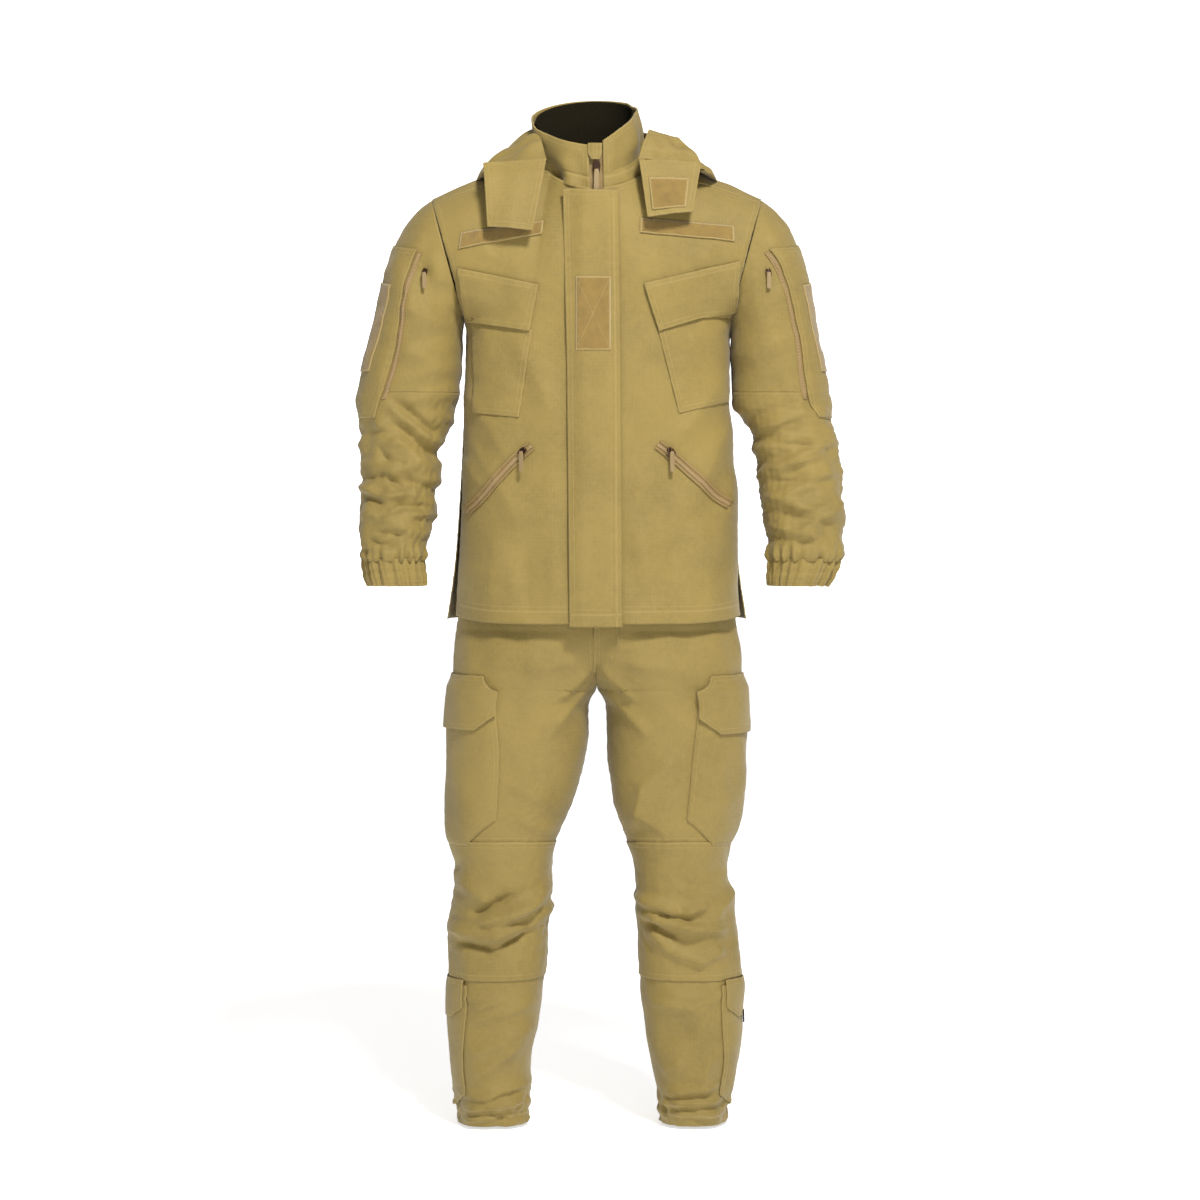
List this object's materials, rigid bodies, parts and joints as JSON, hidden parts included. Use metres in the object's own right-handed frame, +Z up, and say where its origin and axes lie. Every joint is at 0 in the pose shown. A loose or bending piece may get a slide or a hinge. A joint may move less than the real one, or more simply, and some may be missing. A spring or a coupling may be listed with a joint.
{
  "type": "hooded field uniform",
  "caption": "Two-piece field uniform: a hooded ripstop jacket with a storm flap, zips and pockets over cargo trousers, standing as worn.",
  "frame": {"origin": "middle of the wearer's waist, level with the top of the trouser waistband", "axes": "+Z up, -Y towards the wearer's front, +X towards the wearer's left"},
  "size_m": [0.7256, 0.2896, 1.539],
  "materials": {
    "uniform_cloth": "matte",
    "loop_fabric": "matte",
    "zip_tape": "matte",
    "pull_plastic": "matte",
    "slider_metal": "satin"
  },
  "bodies": {
    "trousers": {"waistband": "uniform_cloth", "waist_button": "slider_metal", "trouser_front_right": "uniform_cloth", "trouser_front_left": "uniform_cloth", "trouser_back_right": "uniform_cloth", "trouser_back_left": "uniform_cloth", "cargo_pocket_right": "uniform_cloth", "cargo_pocket_left": "uniform_cloth"},
    "jacket": {"jacket_back": "uniform_cloth", "back_yoke": "uniform_cloth", "collar": "uniform_cloth", "main_zip": "zip_tape", "zip_garage": "uniform_cloth", "hood_neck": "uniform_cloth", "jacket_front_right": "uniform_cloth", "jacket_front_left": "uniform_cloth", "chest_pocket_right": "uniform_cloth", "chest_pocket_left": "uniform_cloth", "chest_loop_right": "loop_fabric", "chest_loop_left": "loop_fabric", "hand_zip_right": "zip_tape", "hand_zip_left": "zip_tape"},
    "storm_flap": {"storm_flap": "uniform_cloth", "storm_flap_loop": "loop_fabric"},
    "main_slider": {"main_slider": "slider_metal"},
    "main_pull": {"main_pull": "pull_plastic"},
    "hood_bag": {"hood_bag": "uniform_cloth"},
    "upper_arm_right": {"upper_sleeve_right": "uniform_cloth", "sleeve_pocket_right": "uniform_cloth", "sleeve_loop_right": "loop_fabric"},
    "forearm_right": {"forearm_sleeve_right": "uniform_cloth", "cuff_right": "uniform_cloth"},
    "lower_leg_right": {"knee_right": "uniform_cloth", "shin_right": "uniform_cloth", "calf_pocket_right": "uniform_cloth"},
    "chest_flap_right": {"chest_flap_right": "uniform_cloth"},
    "cargo_flap_right": {"cargo_flap_right": "uniform_cloth"},
    "calf_flap_right": {"calf_flap_right": "uniform_cloth"},
    "hand_slider_right": {"hand_slider_right": "slider_metal"},
    "hand_pull_right": {"hand_pull_right": "pull_plastic"},
    "sleeve_slider_right": {"sleeve_slider_right": "slider_metal"},
    "sleeve_pull_right": {"sleeve_pull_right": "pull_plastic"},
    "upper_arm_left": {"upper_sleeve_left": "uniform_cloth", "sleeve_pocket_left": "uniform_cloth", "sleeve_loop_left": "loop_fabric"},
    "forearm_left": {"forearm_sleeve_left": "uniform_cloth", "cuff_left": "uniform_cloth"},
    "lower_leg_left": {"knee_left": "uniform_cloth", "shin_left": "uniform_cloth", "calf_pocket_left": "uniform_cloth"},
    "chest_flap_left": {"chest_flap_left": "uniform_cloth"},
    "cargo_flap_left": {"cargo_flap_left": "uniform_cloth"},
    "calf_flap_left": {"calf_flap_left": "uniform_cloth"},
    "hand_slider_left": {"hand_slider_left": "slider_metal"},
    "hand_pull_left": {"hand_pull_left": "pull_plastic"},
    "sleeve_slider_left": {"sleeve_slider_left": "slider_metal"},
    "sleeve_pull_left": {"sleeve_pull_left": "pull_plastic"},
    "hood_flap_right": {"hood_flap_right": "uniform_cloth"},
    "hood_flap_left": {"hood_flap_left": "uniform_cloth", "hood_flap_loop": "loop_fabric"}
  },
  "joints": [
    {"name": "jacket_lift", "type": "slide", "parent": "trousers", "child": "jacket", "axis": [0, 0, 1], "range_m": [0, 0.3]},
    {"name": "shoulder_left", "type": "hinge", "parent": "jacket", "child": "upper_arm_left", "pos_m": [0.223, 0, 0.3005], "axis": [-0.965, 0, 0.2622], "range_deg": [-30, 80]},
    {"name": "shoulder_right", "type": "hinge", "parent": "jacket", "child": "upper_arm_right", "pos_m": [-0.223, 0, 0.3005], "axis": [-0.965, 0, -0.2622], "range_deg": [-30, 80]},
    {"name": "elbow_left", "type": "hinge", "parent": "upper_arm_left", "child": "forearm_left", "pos_m": [0.293, -0.006, 0.03], "axis": [-1, 0, 0], "range_deg": [0, 88]},
    {"name": "elbow_right", "type": "hinge", "parent": "upper_arm_right", "child": "forearm_right", "pos_m": [-0.293, -0.006, 0.03], "axis": [-1, 0, 0], "range_deg": [0, 88]},
    {"name": "knee_left", "type": "hinge", "parent": "trousers", "child": "lower_leg_left", "pos_m": [0.135, 0.008, -0.665], "axis": [1, 0, 0], "range_deg": [0, 90]},
    {"name": "knee_right", "type": "hinge", "parent": "trousers", "child": "lower_leg_right", "pos_m": [-0.135, 0.008, -0.665], "axis": [1, 0, 0], "range_deg": [0, 90]},
    {"name": "chest_flap_hinge_left", "type": "hinge", "parent": "jacket", "child": "chest_flap_left", "pos_m": [0.1385, -0.1049, 0.2747], "axis": [-0.9677, -0.1381, -0.211], "range_deg": [0, 140]},
    {"name": "chest_flap_hinge_right", "type": "hinge", "parent": "jacket", "child": "chest_flap_right", "pos_m": [-0.1385, -0.1049, 0.2747], "axis": [-0.9677, 0.1381, 0.211], "range_deg": [0, 140]},
    {"name": "cargo_flap_hinge_left", "type": "hinge", "parent": "trousers", "child": "cargo_flap_left", "pos_m": [0.2288, 0, -0.3203], "axis": [0, -1, 0], "range_deg": [0, 110]},
    {"name": "cargo_flap_hinge_right", "type": "hinge", "parent": "trousers", "child": "cargo_flap_right", "pos_m": [-0.2288, 0, -0.3203], "axis": [0, 1, 0], "range_deg": [0, 110]},
    {"name": "calf_flap_hinge_left", "type": "hinge", "parent": "lower_leg_left", "child": "calf_flap_left", "pos_m": [0.224, 0, -0.7776], "axis": [0, -1, 0], "range_deg": [0, 110]},
    {"name": "calf_flap_hinge_right", "type": "hinge", "parent": "lower_leg_right", "child": "calf_flap_right", "pos_m": [-0.224, 0, -0.7776], "axis": [0, 1, 0], "range_deg": [0, 110]},
    {"name": "storm_flap_hinge", "type": "hinge", "parent": "jacket", "child": "storm_flap", "pos_m": [0.039, -0.12524, 0.075], "axis": [-0.0062, 0.0599, 0.9982], "range_deg": [0, 120]},
    {"name": "main_slider_slide", "type": "slide", "parent": "jacket", "child": "main_slider", "axis": [0, -0.0599, -0.9982], "range_m": [0, 0.63]},
    {"name": "main_pull_hinge", "type": "hinge", "parent": "main_slider", "child": "main_pull", "pos_m": [0, -0.09766, 0.428], "axis": [-1, 0, 0], "range_deg": [0, 150]},
    {"name": "hand_slider_slide_left", "type": "slide", "parent": "jacket", "child": "hand_slider_left", "axis": [0.6786, 0.2996, -0.6706], "range_m": [0, 0.105]},
    {"name": "hand_slider_slide_right", "type": "slide", "parent": "jacket", "child": "hand_slider_right", "axis": [-0.6786, 0.2996, -0.6706], "range_m": [0, 0.105]},
    {"name": "hand_pull_hinge_left", "type": "hinge", "parent": "hand_slider_left", "child": "hand_pull_left", "pos_m": [0.11156, -0.11893, 0.01162], "axis": [-0.8979, -0.4402, 0], "range_deg": [0, 120]},
    {"name": "hand_pull_hinge_right", "type": "hinge", "parent": "hand_slider_right", "child": "hand_pull_right", "pos_m": [-0.11156, -0.11893, 0.01162], "axis": [-0.8979, 0.4402, 0], "range_deg": [0, 120]},
    {"name": "sleeve_slider_slide_left", "type": "slide", "parent": "upper_arm_left", "child": "sleeve_slider_left", "axis": [0.2718, 0.0521, -0.961], "range_m": [0, 0.1]},
    {"name": "sleeve_slider_slide_right", "type": "slide", "parent": "upper_arm_right", "child": "sleeve_slider_right", "axis": [-0.2718, 0.0521, -0.961], "range_m": [0, 0.1]},
    {"name": "sleeve_pull_hinge_left", "type": "hinge", "parent": "sleeve_slider_left", "child": "sleeve_pull_left", "pos_m": [0.25531, -0.08484, 0.27713], "axis": [-0.9903, -0.1391, 0], "range_deg": [0, 120]},
    {"name": "sleeve_pull_hinge_right", "type": "hinge", "parent": "sleeve_slider_right", "child": "sleeve_pull_right", "pos_m": [-0.25531, -0.08484, 0.27713], "axis": [-0.9903, 0.1391, 0], "range_deg": [0, 120]},
    {"name": "hood_hinge", "type": "hinge", "parent": "jacket", "child": "hood_bag", "pos_m": [0, 0.1412, 0.4521], "axis": [1, 0, 0], "range_deg": [0, 150]},
    {"name": "hood_flap_hinge_left", "type": "hinge", "parent": "jacket", "child": "hood_flap_left", "pos_m": [0.109, -0.0892, 0.4421], "axis": [-0.9956, -0.0664, 0.0664], "range_deg": [0, 150]},
    {"name": "hood_flap_hinge_right", "type": "hinge", "parent": "jacket", "child": "hood_flap_right", "pos_m": [-0.1205, -0.0887, 0.4341], "axis": [-0.9963, 0.0548, -0.0657], "range_deg": [0, 150]}
  ]
}
